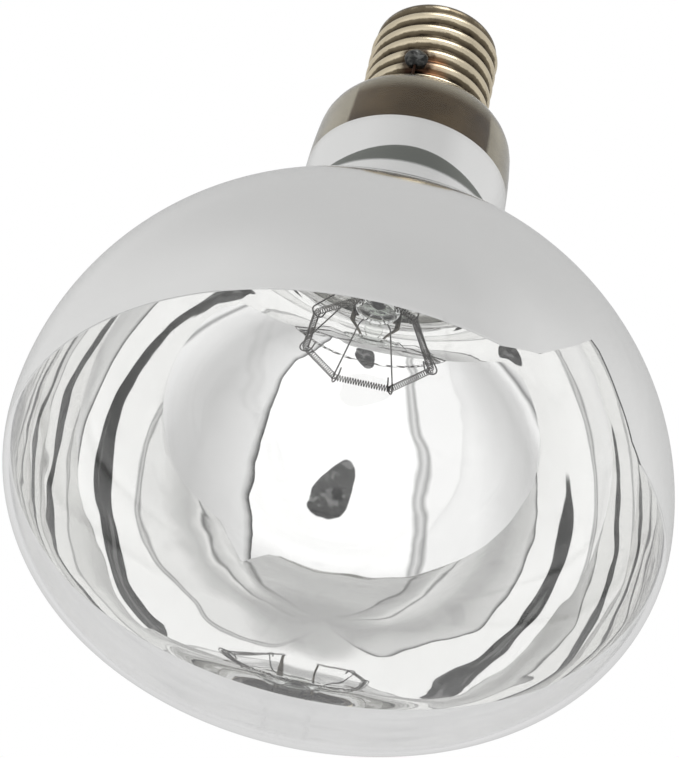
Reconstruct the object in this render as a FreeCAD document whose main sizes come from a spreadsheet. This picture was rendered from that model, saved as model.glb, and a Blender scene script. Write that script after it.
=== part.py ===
import FreeCAD, Part
import math
import os
import re
import Sketcher

# Infrared reflector heat lamp, hanging face down with its screw cap on top.
# The origin is the lowest point of the face, +Z runs along the axis towards the cap.
# The rim is the plane where the bulb is widest. Heights in the sheet are measured up from it.

SIZES = [
    ("bulb_radius", 62.5, "widest radius of the blown bulb, at the rim"),
    ("face_depth", 37.1, "how far the domed face reaches below the rim"),
    ("knuckle_radius", 28.5, "bend from the face round to the rim"),
    ("reflector_turn", 60.0, "degrees that the reflector turns before its straight cone"),
    ("cone_length", 4.965, "straight slope of the reflector"),
    ("root_fillet", 18.0, "hollow bend from the cone into the neck"),
    ("neck_radius", 20.4, "outside of the neck"),
    ("neck_length", 8.135, "straight part of the neck"),
    ("barrel_radius", 121.0, "slow bend of the neck towards its shoulder"),
    ("barrel_turn", 6.6, "degrees of that bend"),
    ("shoulder_radius", 7.8, "bend of the shoulder under the cap"),
    ("tail_fillet", 1.5, "bend from the shoulder into the sealing tail"),
    ("tail_length", 7.5, "sealing tail inside the cap"),
    ("glass_wall", 1.0, "wall of the blown bulb"),
    ("film_gap", 0.1, "clearance between the glass and the film, which lies on it"),
    ("film_thickness", 0.12, "metal film, drawn far thicker than the real one"),
    ("mirror_edge_drop", 4.7, "how far the mirror film reaches below the rim"),
    ("brown_depth", 16.5, "line where the film turns brown, below the top of the shoulder"),
    ("film_end_depth", 1.9, "upper end of the brown film, below the top of the shoulder"),
    ("thread_pitch", 3.629, "E27 screw thread"),
    ("thread_crest_radius", 13.1, "outside of the thread"),
    ("thread_depth", 1.095, "crest to root"),
    ("thread_arc_radius", 1.025, "round crests and roots"),
    ("shell_wall", 0.3, "sheet of the screw shell"),
    ("cap_gap", 1.4, "from the shoulder to the open end of the screw shell"),
    ("shell_rim_radius", 12.9, "outside of the plain rim"),
    ("thread_length", 21.1, "from the open end to where the thread has run out"),
    ("thread_fade_length", 1.8, "run-out of the thread at either end"),
    ("groove_drop", 0.85, "from the thread's end down to its root, on the side of groove_angle"),
    ("groove_angle", -105.0, "degrees from +X"),
    ("crown_radius", 12.6, "outside of the shell above the thread"),
    ("crown_bend", 1.6, "bend of the shell over the insulator"),
    ("insulator_depth", 2.5, "how far the insulator fills the shell below the thread's end"),
    ("insulator_height", 2.6, "cone of the insulator above the shell"),
    ("insulator_top_radius", 6.2, "flat top of the insulator"),
    ("insulator_hole_radius", 1.4, "hole for the centre lead"),
    ("seat_gap", 0.05, "clearance of pieces that are seated in one another"),
    ("contact_radius", 5.2, "centre contact plate"),
    ("contact_thickness", 0.5, "centre contact plate"),
    ("contact_hole_radius", 0.8, "hole that the solder fills"),
    ("solder_radius", 3.4, "solder on the centre contact"),
    ("solder_height", 0.9, "solder on the centre contact"),
    ("solder_flat_radius", 1.6, "pressed flat on that solder"),
    ("cement_overlap", 5.6, "height of the basing cement above the shell's rim"),
    ("blob_rise", 4.7, "side solder, above the open end of the shell"),
    ("blob_length", 2.1, "half its height"),
    ("blob_width", 2.1, "half its width"),
    ("blob_depth", 1.5, "half its thickness"),
    ("blob_radius", 13.2, "its centre from the axis"),
    ("flare_radius", 5.2, "outside of the flare tube"),
    ("flare_wall", 1.0, "wall of the flare tube"),
    ("flare_length", 21.9, "from the seal down to the pinched stem press"),
    ("press_length", 8.5, "height of the stem press"),
    ("press_taper", 3.2, "length over which the tube is pinched flat"),
    ("press_width", 11.0, "width of the pinched part"),
    ("press_thickness", 3.8, "thickness of the pinched part"),
    ("exhaust_radius", 2.0, "outside of the exhaust tube"),
    ("exhaust_bore", 1.2, "bore of the exhaust tube"),
    ("exhaust_reach", 3.6, "how far its sealed end stands above the seal"),
    ("arbor_radius", 1.4, "glass rod that carries the button"),
    ("button_radius", 4.5, "glass button that holds the supports"),
    ("button_height", 4.0, "thickness of the button"),
    ("button_round", 1.4, "rounded edge of the button"),
    ("lead_spread", 3.6, "each lead's distance from the middle of the press"),
    ("lead_radius", 0.45, "inner leads"),
    ("outer_lead_radius", 0.3, "outer leads"),
    ("lead_joint_depth", 4.25, "where inner and outer leads are welded, below the press's top"),
    ("lead_turn", 40.0, "slope of the inner leads, in degrees from the vertical"),
    ("lead_bend", 3.0, "bends of the inner leads"),
    ("lead_end_drop", 5.0, "straight ends of the inner leads"),
    ("side_lead_rise", 5.1, "how far above the seal the side lead crosses over the flare"),
    ("side_lead_radius", 11.05, "where it runs down between tail and shell, from the axis"),
    ("side_lead_bend", 1.2, "its bends"),
    ("side_lead_drop", 0.7, "how far it passes below the shell's rim"),
    ("side_lead_reach", 13.6, "where it turns up into the side solder, from the axis"),
    ("side_lead_end", 3.0, "straight end inside the side solder"),
    ("centre_lead_bend", 2.5, "bends of the centre lead"),
    ("centre_lead_rise", 4.6, "how far above the seal it starts to bend towards the axis"),
    ("centre_lead_turn", 35.0, "degrees of those bends"),
    ("ring_height", 37.5, "plane of the filament"),
    ("hub_rise", 11.0, "from that plane up to where the supports leave the button"),
    ("ring_radius", 13.0, "corners of the filament"),
    ("ring_mouth", 12.4, "distance of the filament's two ends from the axis"),
    ("coil_radius", 0.7, "outside of the filament's coil"),
    ("coil_end", 0.7, "coil past the middle of each lead"),
    ("corner_angle_1", -57.0, "degrees from +X, corner by corner round the filament"),
    ("corner_angle_2", 14.0, "second corner"),
    ("corner_angle_3", 64.0, "third corner"),
    ("corner_angle_4", 114.0, "fourth corner"),
    ("corner_angle_5", 159.0, "fifth corner"),
    ("corner_angle_6", 210.0, "sixth corner"),
    ("support_radius", 0.15, "molybdenum support wires"),
    ("support_slope", 57.0, "degrees down from the level"),
    ("support_bend", 1.0, "bend of a support beside the button"),
    ("support_grip", 2.6, "length of a support inside the button"),
    ("hook_radius", 1.3, "hook round the coil, to the middle of the wire"),
    ("hook_turn", 195.0, "degrees of the hook"),
    ("hook_tail", 1.6, "straight end of the hook"),
    ("hook_play", 0.12, "clearance between hook and coil"),
]
FINE_ROWS = 12      # rows of the screw shell's surface in one pitch of its thread
FINE_COLUMNS = 24   # columns of that surface in one turn
CROWN_ROWS = 6      # rows over the crown's bend
CORNERS = range(1, 7)

doc = FreeCAD.newDocument("HeatLamp")
sheet = doc.addObject("Spreadsheet::Sheet", "Sizes")
for row, (name, size, note) in enumerate(SIZES, start=1):
    sheet.set(f"A{row}", name)
    sheet.set(f"B{row}", str(size))
    sheet.set(f"C{row}", note)
    sheet.setAlias(f"B{row}", name)
doc.recompute()


def formula(text):
    """Points every size that is named in a formula at its cell in the sheet."""
    return re.sub(r"[a-z]+(?:_[a-z0-9]+)+", r"Sizes.\g<0>", text)


def value(text):
    """Works a formula out, for a sketch's first drawing and for the free surfaces."""
    result = sheet.evalExpression(formula(text))
    return float(getattr(result, "Value", result))


def sine(turn):
    return f"sin(({turn}) * 1 deg)"


def cosine(turn):
    return f"cos(({turn}) * 1 deg)"


def new_body(label):
    body = doc.addObject("PartDesign::Body", label)
    body.Label = label
    return body


def new_sketch(body, plane, lift="0"):
    """A sketch on one of the body's own planes, or parallel to it."""
    sketch = body.newObject("Sketcher::SketchObject", f"{body.Name}_sketch")
    plane = [item for item in body.Origin.OriginFeatures if item.Role == plane][0]
    sketch.AttachmentSupport = [(plane, "")]
    sketch.MapMode = "FlatFace"
    sketch.setExpression("AttachmentOffset.Base.z", formula(lift))
    return sketch


def bind(sketch, size, kind, *where):
    """Adds a dimension to a sketch and ties it to the sheet."""
    number = sketch.addConstraint(Sketcher.Constraint(kind, *where))
    sketch.setExpression(f"Constraints[{number}]", formula(size))


def draw(sketch, start, heading, strokes, closed=True):
    """Draws a chain of edges, each sized from the sheet.

    A stroke is ("line", length), ("arc", radius, degrees to the left) or ("to", across, up).
    Lines and arcs carry straight on from the edge before; "to" makes a corner first.
    """
    across, up = value(start[0]), value(start[1])
    first = last = None
    for kind, *sizes in strokes:
        if kind == "arc":
            radius, turn = value(sizes[0]), math.radians(value(sizes[1]))
            side = math.copysign(1, turn)
            towards = math.radians(heading) + side * math.pi / 2
            middle_x = across + radius * math.cos(towards)
            middle_y = up + radius * math.sin(towards)
            begin = towards + math.pi
            circle = Part.Circle(FreeCAD.Vector(middle_x, middle_y), FreeCAD.Vector(0, 0, 1), radius)
            low, high = sorted((begin, begin + turn))
            edge = Part.ArcOfCircle(circle, low, high)
            across = middle_x + radius * math.cos(begin + turn)
            up = middle_y + radius * math.sin(begin + turn)
            heading += math.degrees(turn)
            ends = (1, 2) if turn > 0 else (2, 1)
        else:
            if kind == "line":
                length = value(sizes[0])
                next_x = across + length * math.cos(math.radians(heading))
                next_y = up + length * math.sin(math.radians(heading))
            else:
                next_x, next_y = value(sizes[0]), value(sizes[1])
                heading = math.degrees(math.atan2(next_y - up, next_x - across))
            edge = Part.LineSegment(FreeCAD.Vector(across, up), FreeCAD.Vector(next_x, next_y))
            across, up = next_x, next_y
            ends = (1, 2)
        number = sketch.addGeometry(edge)
        if last is None:
            first = (number, ends[0])
            bind(sketch, start[0], "DistanceX", -1, 1, *first, value(start[0]))
            bind(sketch, start[1], "DistanceY", -1, 1, *first, value(start[1]))
            level = round(heading if kind != "arc" else heading - math.degrees(turn)) % 180 == 0
            if kind == "arc":
                sketch.addConstraint(
                    Sketcher.Constraint("Vertical" if level else "Horizontal", *first, number, 3))
            elif kind == "line":
                sketch.addConstraint(Sketcher.Constraint("Horizontal" if level else "Vertical", number))
        else:
            joint = "Coincident" if kind == "to" else "Tangent"
            sketch.addConstraint(Sketcher.Constraint(joint, *last, number, ends[0]))
        last = (number, ends[1])
        if kind == "arc":
            bind(sketch, sizes[0], "Radius", number, radius)
            bind(sketch, f"abs({sizes[1]}) * 1 deg", "Angle", number, abs(turn))
        elif kind == "line":
            bind(sketch, sizes[0], "Distance", number, length)
        else:
            bind(sketch, sizes[0], "DistanceX", -1, 1, *last, across)
            bind(sketch, sizes[1], "DistanceY", -1, 1, *last, up)
    if closed:
        home = FreeCAD.Vector(value(start[0]), value(start[1]))
        number = sketch.addGeometry(Part.LineSegment(FreeCAD.Vector(across, up), home))
        sketch.addConstraint(Sketcher.Constraint("Coincident", *last, number, 1))
        sketch.addConstraint(Sketcher.Constraint("Coincident", number, 2, *first))


def revolved(label, start, heading, strokes):
    """A turned or blown piece: its half outline spun round the lamp's axis."""
    body = new_body(label)
    sketch = new_sketch(body, "XZ_Plane")
    draw(sketch, start, heading, strokes)
    spin = body.newObject("PartDesign::Revolution", f"{label}_revolution")
    spin.Profile = sketch
    spin.ReferenceAxis = (sketch, ["V_Axis"])
    spin.Angle = 360
    return body


def wire(label, start, heading, strokes, radius, plane="XZ_Plane"):
    """A round wire or rod along a flat path that sets off along X or Z."""
    body = new_body(label)
    path = new_sketch(body, plane)
    draw(path, start, heading, strokes, closed=False)
    if plane == "XY_Plane":
        profile = new_sketch(body, "YZ_Plane", start[0])
        middle = (start[1], "0")
    elif heading % 180 == 0:
        profile = new_sketch(body, "YZ_Plane", start[0])
        middle = ("0", start[1])
    else:
        profile = new_sketch(body, "XY_Plane", start[1])
        middle = (start[0], "0")
    centre = FreeCAD.Vector(value(middle[0]), value(middle[1]))
    profile.addGeometry(Part.Circle(centre, FreeCAD.Vector(0, 0, 1), value(radius)))
    bind(profile, radius, "Radius", 0, value(radius))
    bind(profile, middle[0], "DistanceX", -1, 1, 0, 3, centre.x)
    bind(profile, middle[1], "DistanceY", -1, 1, 0, 3, centre.y)
    pipe = body.newObject("PartDesign::AdditivePipe", f"{label}_pipe")
    pipe.Profile = profile
    pipe.Spine = (path, [])
    pipe.Transition = "Round corner"
    return body


def move(item, x="0", y="0", z="0", turn="0"):
    """Places an object by formulas, turned about the vertical."""
    item.Placement = FreeCAD.Placement(
        FreeCAD.Vector(value(x), value(y), value(z)),
        FreeCAD.Rotation(FreeCAD.Vector(0, 0, 1), value(turn)))
    item.setExpression("Placement.Base.x", formula(x))
    item.setExpression("Placement.Base.y", formula(y))
    item.setExpression("Placement.Base.z", formula(z))
    item.setExpression("Placement.Rotation.Angle", formula(f"({turn}) * 1 deg"))


def cut(label, base, tool, kind="Part::Cut"):
    """What a tool leaves of a base, or with kind Part::Common what the two share."""
    result = doc.addObject(kind, label)
    result.Label = label
    result.Base = base
    result.Tool = tool
    return result


# Bulb glass: blown in one piece, from the domed face to the tail that is sealed to the stem.
FACE_RADIUS = ("((bulb_radius - knuckle_radius)^2 + face_depth^2 - knuckle_radius^2)"
               " / (2 * (face_depth - knuckle_radius))")
FACE_TURN = f"asin((bulb_radius - knuckle_radius) / ({FACE_RADIUS} - knuckle_radius)) / 1 deg"
REFLECTOR_RADIUS = (f"((bulb_radius - neck_radius - cone_length * {sine('reflector_turn')})"
                    f" / (1 - {cosine('reflector_turn')}) - root_fillet)")
NECK_FOOT = (f"(({REFLECTOR_RADIUS} + root_fillet) * {sine('reflector_turn')}"
             f" + cone_length * {cosine('reflector_turn')})")
SHOULDER_TOP = (f"(face_depth + {NECK_FOOT} + neck_length + barrel_radius * {sine('barrel_turn')}"
                f" + shoulder_radius * (1 - {sine('barrel_turn')}))")
TAIL_RADIUS = (f"(neck_radius - barrel_radius * (1 - {cosine('barrel_turn')})"
               f" - shoulder_radius * {cosine('barrel_turn')} - tail_fillet)")
TAIL_FOOT = f"({SHOULDER_TOP} + tail_fillet)"
TAIL_END = f"({TAIL_FOOT} + tail_length)"
SHELL_RIM = f"({SHOULDER_TOP} + cap_gap)"
THREAD_END = f"({SHELL_RIM} + thread_length)"
SHELL_TOP = f"({THREAD_END} + crown_bend)"


def bulb_form(label, inset, overrun="0"):
    """The filled shape of the bulb, drawn in from its outer face by an inset."""
    return revolved(label, ("0", inset), 0, [
        ("arc", f"{FACE_RADIUS} - ({inset})", FACE_TURN),
        ("arc", f"knuckle_radius - ({inset})", f"90 - {FACE_TURN}"),
        ("arc", f"{REFLECTOR_RADIUS} - ({inset})", "reflector_turn"),
        ("line", "cone_length"),
        ("arc", f"root_fillet + ({inset})", "-reflector_turn"),
        ("line", "neck_length"),
        ("arc", f"barrel_radius - ({inset})", "barrel_turn"),
        ("arc", f"shoulder_radius - ({inset})", "90 - barrel_turn"),
        ("arc", f"tail_fillet + ({inset})", "-90"),
        ("line", f"tail_length + {overrun}"),
        ("to", "0", f"{TAIL_END} + {overrun}"),
    ])


outer_form = bulb_form("bulb_outer_form", "0")
cavity_form = bulb_form("bulb_cavity_form", "glass_wall", "tail_length")
glass_bulb = cut("glass_bulb", outer_form, cavity_form)


# Metal films on the inside of the glass: bright up to the neck, brown on the shoulder.
def band(label, low, high):
    """All that lies between two heights."""
    ring = doc.addObject("Part::Cylinder", label)
    ring.setExpression("Radius", formula("bulb_radius * 2"))
    ring.setExpression("Height", formula(f"{high} - {low}"))
    move(ring, z=low)
    return ring


film_outer_form = bulb_form("film_outer_form", "glass_wall + film_gap", "tail_length")
film_inner_form = bulb_form("film_inner_form", "glass_wall + film_gap + film_thickness", "tail_length")
film_skin = cut("film_skin", film_outer_form, film_inner_form)
MIRROR_EDGE = "(face_depth - mirror_edge_drop)"
FILM_CHANGE = f"({SHOULDER_TOP} - brown_depth)"
FILM_END = f"({SHOULDER_TOP} - film_end_depth)"
mirror_band = band("mirror_band", MIRROR_EDGE, FILM_CHANGE)
brown_band = band("brown_band", FILM_CHANGE, FILM_END)
mirror_film = cut("mirror_film", film_skin, mirror_band, "Part::Common")
neck_film = cut("neck_film", film_skin, brown_band, "Part::Common")

# Stem: flare tube, pinched press, exhaust tube and the rod with its button, all lead glass.
# It hangs from the seal, where its flare is melted to the end of the bulb's tail.
PRESS_TOP = f"({TAIL_END} - flare_length)"
PRESS_BOTTOM = f"({PRESS_TOP} - press_length)"
LEAD_JOINT = f"({PRESS_TOP} - lead_joint_depth)"
FLARE_BELL = f"({TAIL_RADIUS} - glass_wall - flare_radius)"
stem_flare = revolved("stem_flare", ("flare_radius", PRESS_TOP), 90, [
    ("line", f"flare_length - {FLARE_BELL}"),
    ("arc", FLARE_BELL, "-90"),
    ("line", "glass_wall"),
    ("to", TAIL_RADIUS, f"{TAIL_END} + flare_wall"),
    ("to", f"{TAIL_RADIUS} - glass_wall", f"{TAIL_END} + flare_wall"),
    ("arc", f"{FLARE_BELL} + flare_wall", "90"),
    ("to", "flare_radius - flare_wall", PRESS_TOP),
])

press_form = new_body("press_form")


def slot_sketch(body, lift):
    """The flat section of the press, with round ends."""
    sketch = new_sketch(body, "XY_Plane", lift)
    flat = "press_width - press_thickness"
    draw(sketch, (f"({flat}) / 2", "-press_thickness / 2"), 0, [
        ("arc", "press_thickness / 2", "180"),
        ("line", flat),
        ("arc", "press_thickness / 2", "180"),
    ])
    return sketch


press_pad = press_form.newObject("PartDesign::Pad", "press_pad")
press_pad.Profile = slot_sketch(press_form, PRESS_BOTTOM)
press_pad.setExpression("Length", formula("press_length - press_taper"))
press_foot = slot_sketch(press_form, f"{PRESS_TOP} - press_taper")
press_head = new_sketch(press_form, "XY_Plane", PRESS_TOP)
press_head.addGeometry(Part.Circle(FreeCAD.Vector(0, 0), FreeCAD.Vector(0, 0, 1), value("flare_radius")))
bind(press_head, "flare_radius", "Radius", 0, value("flare_radius"))
press_head.addConstraint(Sketcher.Constraint("Coincident", 0, 3, -1, 1))
press_loft = press_form.newObject("PartDesign::AdditiveLoft", "press_loft")
press_loft.Profile = press_foot
press_loft.Sections = [press_head]

EXHAUST_SHOULDER = f"{TAIL_END} + exhaust_reach - exhaust_radius"
exhaust_tube = revolved("exhaust_tube", ("exhaust_radius", PRESS_TOP), 90, [
    ("line", "flare_length + exhaust_reach - exhaust_radius"),
    ("arc", "exhaust_radius", "90"),
    ("to", "0", EXHAUST_SHOULDER),
    ("to", "exhaust_bore", EXHAUST_SHOULDER),
    ("to", "exhaust_bore", PRESS_TOP),
])

RING_PLANE = "(face_depth + ring_height)"
HUB_HEIGHT = f"({RING_PLANE} + hub_rise)"
BUTTON_TOP = f"{HUB_HEIGHT} + button_height / 2"
arbor_form = revolved("arbor_form", ("0", f"{HUB_HEIGHT} - button_height / 2"), 0, [
    ("line", "button_radius - button_round"),
    ("arc", "button_round", "90"),
    ("line", "button_height - 2 * button_round"),
    ("arc", "button_round", "90"),
    ("to", "arbor_radius", BUTTON_TOP),
    ("to", "arbor_radius", PRESS_BOTTOM),
    ("to", "0", PRESS_BOTTOM),
])

# Six molybdenum supports: fused into the button, each ends in a hook under the coil.
hook_seat = "(hook_radius - support_radius - coil_radius - hook_play)"
HOOK_TOP = (f"({RING_PLANE} + {hook_seat} * {sine('support_slope')}"
            f" + hook_radius * {cosine('support_slope')})")
HOOK_SIDE = (f"(ring_radius - {hook_seat} * {cosine('support_slope')}"
             f" + hook_radius * {sine('support_slope')})")
SUPPORT_RUN = (f"(({HUB_HEIGHT} - support_bend * (1 - {cosine('support_slope')}) - {HOOK_TOP})"
               f" / {sine('support_slope')})")
SUPPORT_ARM = (f"({HOOK_SIDE} - {SUPPORT_RUN} * {cosine('support_slope')}"
               f" - support_bend * {sine('support_slope')} - button_radius + support_grip)")
supports = []
SUPPORT_START = ("button_radius - support_grip", HUB_HEIGHT)
for corner in CORNERS:
    support = wire(f"support_wire_{corner}", SUPPORT_START, 0, [
        ("line", SUPPORT_ARM),
        ("arc", "support_bend", "-support_slope"),
        ("line", SUPPORT_RUN),
        ("arc", "hook_radius", "-hook_turn"),
        ("line", "hook_tail"),
    ], "support_radius")
    move(support, turn=f"corner_angle_{corner}")
    supports.append(support)
support_set = doc.addObject("Part::Compound", "support_set")
support_set.Links = supports
arbor = cut("arbor", arbor_form, support_set)

# Filament: the outer form of the tungsten coil, strung from hook to hook.
ring_path = [("line", "2 * coil_end")]
for corner in CORNERS:
    ring_path.append(("to", f"ring_radius * {cosine(f'corner_angle_{corner}')}",
                      f"ring_radius * {sine(f'corner_angle_{corner}')}"))
ring_path.append(("to", "-lead_spread - coil_end", "-ring_mouth"))
ring_path.append(("to", "-lead_spread + coil_end", "-ring_mouth"))
filament = wire("filament", ("lead_spread - coil_end", "-ring_mouth"), 0, ring_path,
                "coil_radius", plane="XY_Plane")
move(filament, z=RING_PLANE)

# Leads: nickel inside the bulb, copper from the press up to the contacts.
LEAD_SLOPE = f"((ring_mouth - 2 * lead_bend * (1 - {cosine('lead_turn')})) / {sine('lead_turn')})"
LEAD_DROP = (f"({LEAD_JOINT} - {RING_PLANE} - coil_radius - lead_end_drop"
             f" - 2 * lead_bend * {sine('lead_turn')} - {LEAD_SLOPE} * {cosine('lead_turn')})")
inner_leads = []
for side, spread in ((1, "lead_spread"), (2, "-lead_spread")):
    lead = wire(f"inner_lead_{side}", ("0", LEAD_JOINT), -90, [
        ("line", LEAD_DROP),
        ("arc", "lead_bend", "lead_turn"),
        ("line", LEAD_SLOPE),
        ("arc", "lead_bend", "-lead_turn"),
        ("line", "lead_end_drop"),
    ], "lead_radius")
    move(lead, x=spread, turn="-90")
    inner_leads.append(lead)

CONTACT_TOP = f"({SHELL_TOP} + insulator_height + contact_thickness)"
CENTRE_SLOPE = (f"((lead_spread - 2 * centre_lead_bend * (1 - {cosine('centre_lead_turn')}))"
                f" / {sine('centre_lead_turn')})")
centre_lead = wire("centre_lead", ("lead_spread", LEAD_JOINT), 90, [
    ("line", f"{TAIL_END} + centre_lead_rise - {LEAD_JOINT}"),
    ("arc", "centre_lead_bend", "centre_lead_turn"),
    ("line", CENTRE_SLOPE),
    ("arc", "centre_lead_bend", "-centre_lead_turn"),
    ("line", f"{CONTACT_TOP} + solder_height / 2 - {TAIL_END} - centre_lead_rise"
             f" - 2 * centre_lead_bend * {sine('centre_lead_turn')}"
             f" - {CENTRE_SLOPE} * {cosine('centre_lead_turn')}"),
], "outer_lead_radius")

SIDE_OUT = "sqrt(side_lead_radius^2 - lead_spread^2)"
SIDE_REACH = "sqrt(side_lead_reach^2 - lead_spread^2)"
SIDE_HIGH = f"({TAIL_END} + side_lead_rise)"
SIDE_LOW = f"({SHELL_RIM} - side_lead_drop)"
side_lead = wire("side_lead", ("0", LEAD_JOINT), 90, [
    ("line", f"{SIDE_HIGH} - side_lead_bend - {LEAD_JOINT}"),
    ("arc", "side_lead_bend", "-90"),
    ("line", f"{SIDE_OUT} - 2 * side_lead_bend"),
    ("arc", "side_lead_bend", "-90"),
    ("line", f"{SIDE_HIGH} - {SIDE_LOW} - 2 * side_lead_bend"),
    ("arc", "side_lead_bend", "90"),
    ("line", f"{SIDE_REACH} - {SIDE_OUT} - 2 * side_lead_bend"),
    ("arc", "side_lead_bend", "90"),
    ("line", "side_lead_end"),
], "outer_lead_radius")
move(side_lead, x="-lead_spread", turn="-90")

lead_set = doc.addObject("Part::Compound", "lead_set")
lead_set.Links = inner_leads + [centre_lead, side_lead]
stem_press = cut("stem_press", press_form, lead_set)


# Screw shell: thin sheet rolled to the E27 thread, open at the rim, bent in over the insulator.
shell_rim = value(SHELL_RIM)
thread_end = value(THREAD_END)


def thread_radius(angle, height, skin):
    """Radius of the rolled sheet. skin is 0 on its outside and the wall on its inside."""
    pitch = value("thread_pitch")
    arc = value("thread_arc_radius")
    crest_centre = value("thread_crest_radius") - arc
    root_centre = value("thread_crest_radius - thread_depth") + arc
    turn = (math.degrees(angle) - value("groove_angle")) / 360
    along = (height - thread_end + value("groove_drop") - pitch * turn) % pitch
    from_root = min(along, pitch - along)
    from_crest = pitch / 2 - from_root
    crest_arc = arc - skin
    root_arc = arc + skin
    if from_crest < pitch / 4 * crest_arc / arc:
        threaded = crest_centre + math.sqrt(crest_arc**2 - from_crest**2)
    else:
        threaded = root_centre - math.sqrt(root_arc**2 - from_root**2)
    low = (height - shell_rim) / value("thread_fade_length")
    high = (thread_end - height) / value("thread_fade_length")
    share = min(max(min(low, high), 0), 1)
    share = share * share * (3 - 2 * share)
    plain = value("shell_rim_radius") if low < high else value("crown_radius")
    return (plain - skin) * (1 - share) + threaded * share


def shell_rows(skin):
    """Rings of points on one side of the sheet, from the rim up and in over the crown."""
    length = value("thread_length")
    steps = round(length / value("thread_pitch") * FINE_ROWS)
    angles = [2 * math.pi * column / FINE_COLUMNS for column in range(FINE_COLUMNS)]
    rows = []
    for step in range(steps + 1):
        height = shell_rim + length * step / steps
        rows.append([(thread_radius(angle, height, skin), height) for angle in angles])
    bend = value("crown_bend") - skin
    for step in range(1, CROWN_ROWS + 1):
        lean = math.pi / 2 * step / CROWN_ROWS
        radius = value("crown_radius - crown_bend") + bend * math.cos(lean)
        height = thread_end + bend * math.sin(lean)
        rows.append([(radius, height)] * FINE_COLUMNS)
    return [[FreeCAD.Vector(radius * math.cos(angle), radius * math.sin(angle), height)
             for angle, (radius, height) in zip(angles, row)] for row in rows]


def spline_through(points, closed):
    """The poles, multiplicities and knots of an even cubic spline through points."""
    curve = Part.BSplineCurve()
    marks = [float(number) for number in range(len(points) + closed)]
    curve.interpolate(Points=list(points), PeriodicFlag=closed, Parameters=marks)
    return curve.getPoles(), curve.getMultiplicities(), curve.getKnots()


def shell_skin(skin):
    """One side of the sheet as one smooth surface that closes on itself round the axis."""
    rounds = [spline_through(row, True) for row in shell_rows(skin)]
    climbs = [spline_through(column, False) for column in zip(*[poles for poles, mults, knots in rounds])]
    poles = list(zip(*[climb[0] for climb in climbs]))
    surface = Part.BSplineSurface()
    surface.buildFromPolesMultsKnots(
        poles, climbs[0][1], rounds[0][1], climbs[0][2], rounds[0][2], False, True, 3, 3)
    return surface


outside, inside = shell_skin(0), shell_skin(value("shell_wall"))
shell_faces = [outside.toShape(), inside.toShape()]
for end in (0, 1):
    edges = [side.uIso(side.bounds()[end]).toShape() for side in (outside, inside)]
    shell_faces.append(Part.makeRuledSurface(*edges))
shell_sheet = Part.Shell(shell_faces)
shell_sheet.sewShape()
screw_shell = doc.addObject("Part::Feature", "screw_shell")
screw_shell.Label = "screw_shell"
screw_shell.Shape = Part.Solid(shell_sheet)

# The filled thread, only to seat the side solder on.
core_ends = [Part.Face(Part.Wire(outside.uIso(end).toShape())) for end in outside.bounds()[:2]]
core_sheet = Part.Shell([outside.toShape(), *core_ends])
core_sheet.sewShape()
shell_core = doc.addObject("Part::Feature", "shell_core")
shell_core.Shape = Part.Solid(core_sheet)

# Insulator: black glass cast into the crown, with a cone that carries the contact plate.
SHELL_BORE = "(thread_crest_radius - thread_depth - shell_wall - seat_gap)"
CROWN_BORE = "(crown_radius - crown_bend - seat_gap)"
INSULATOR_FOOT = f"({THREAD_END} - insulator_depth)"
INSULATOR_TOP = f"{SHELL_TOP} + insulator_height"
cap_insulator = revolved("cap_insulator", ("insulator_hole_radius", INSULATOR_FOOT), 0, [
    ("to", SHELL_BORE, INSULATOR_FOOT),
    ("to", SHELL_BORE, THREAD_END),
    ("to", CROWN_BORE, f"{SHELL_TOP} - shell_wall - seat_gap"),
    ("to", CROWN_BORE, SHELL_TOP),
    ("to", "insulator_top_radius", INSULATOR_TOP),
    ("to", "insulator_hole_radius", INSULATOR_TOP),
])
contact_plate = revolved("contact_plate", ("contact_hole_radius", INSULATOR_TOP), 0, [
    ("line", "contact_radius - contact_hole_radius - contact_thickness"),
    ("arc", "contact_thickness", "90"),
    ("to", "contact_hole_radius", CONTACT_TOP),
])

# Solder: a pressed drop that closes the contact plate, and a lump on the shell's side.
SOLDER_TURN = "(2 * atan(solder_height / (solder_radius - solder_flat_radius)) / 1 deg)"
solder_form = revolved("solder_form", ("0", f"{CONTACT_TOP} + solder_height"), 0, [
    ("line", "solder_flat_radius"),
    ("arc", f"(solder_radius - solder_flat_radius) / {sine(SOLDER_TURN)}", f"-{SOLDER_TURN}"),
    ("to", "contact_hole_radius", CONTACT_TOP),
    ("to", "contact_hole_radius", INSULATOR_TOP),
    ("to", "0", INSULATOR_TOP),
])
contact_solder = cut("contact_solder", solder_form, centre_lead)

blob_turn = "(-90 - asin(lead_spread / side_lead_reach) / 1 deg)"
blob_form = doc.addObject("Part::Ellipsoid", "blob_form")
blob_form.setExpression("Radius1", formula("blob_length"))
blob_form.setExpression("Radius2", formula("blob_depth"))
blob_form.setExpression("Radius3", formula("blob_width"))
move(blob_form, f"blob_radius * {cosine(blob_turn)}", f"blob_radius * {sine(blob_turn)}",
     f"{SHELL_RIM} + blob_rise", blob_turn)
blob_seat = doc.addObject("Part::Compound", "blob_seat")
blob_seat.Links = [shell_core, side_lead]
side_solder = cut("side_solder", blob_form, blob_seat)

# Cement: holds the sealing tail in the screw shell, with the side lead running through it.
cement_form = revolved("cement_form", (TAIL_RADIUS, TAIL_FOOT), 0, [
    ("to", SHELL_BORE, TAIL_FOOT),
    ("to", SHELL_BORE, f"{SHELL_RIM} + cement_overlap"),
    ("to", TAIL_RADIUS, f"{SHELL_RIM} + cement_overlap"),
])
cap_cement = cut("cap_cement", cement_form, side_lead)

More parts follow.
